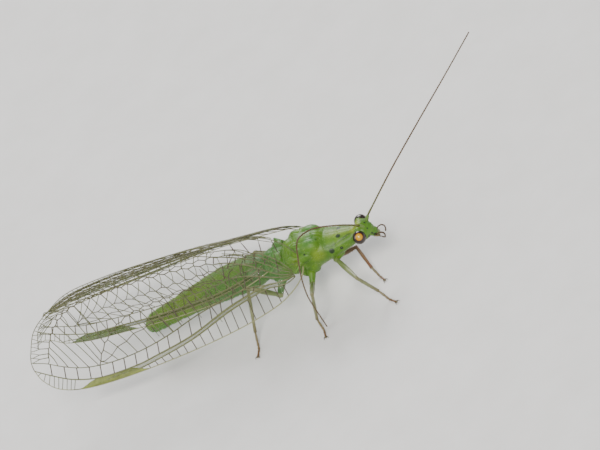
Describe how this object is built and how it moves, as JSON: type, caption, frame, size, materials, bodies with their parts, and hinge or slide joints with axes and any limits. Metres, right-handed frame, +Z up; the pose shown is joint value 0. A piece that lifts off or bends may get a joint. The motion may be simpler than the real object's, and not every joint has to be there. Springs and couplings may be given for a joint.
{
  "type": "green lacewing",
  "caption": "Life-size still model of a green lacewing, standing with roof-folded wings, one antenna raised ahead and the other laid back over its side.",
  "frame": {"origin": "on the floor, under the middle of the whole model's box", "axes": "+X toward the head, +Y to the insect's left, +Z up"},
  "size_m": [0.028, 0.0082, 0.0092],
  "materials": {
    "head_green": "satin cuticle",
    "eye_dark": "glossy facets",
    "palp_brown": "satin",
    "antenna_brown": "finely ringed",
    "thorax_green": "satin cuticle",
    "abdomen_green": "satin cuticle",
    "leg_green": "satin, finely haired",
    "wing_membrane": "clear film with green and dark veins"
  },
  "bodies": {
    "root": {"head": "head_green", "eye_left": "eye_dark", "eye_right": "eye_dark", "palp_left": "palp_brown", "palp_right": "palp_brown", "antenna_left": "antenna_brown", "antenna_right": "antenna_brown", "prothorax": "thorax_green", "mesothorax": "thorax_green", "metathorax": "thorax_green", "abdomen": "abdomen_green", "foreleg_left": "leg_green", "foreleg_right": "leg_green", "midleg_left": "leg_green", "midleg_right": "leg_green", "hindleg_left": "leg_green", "hindleg_right": "leg_green", "forewing_left": "wing_membrane", "forewing_right": "wing_membrane", "hindwing_left": "wing_membrane", "hindwing_right": "wing_membrane"}
  },
  "joints": []
}
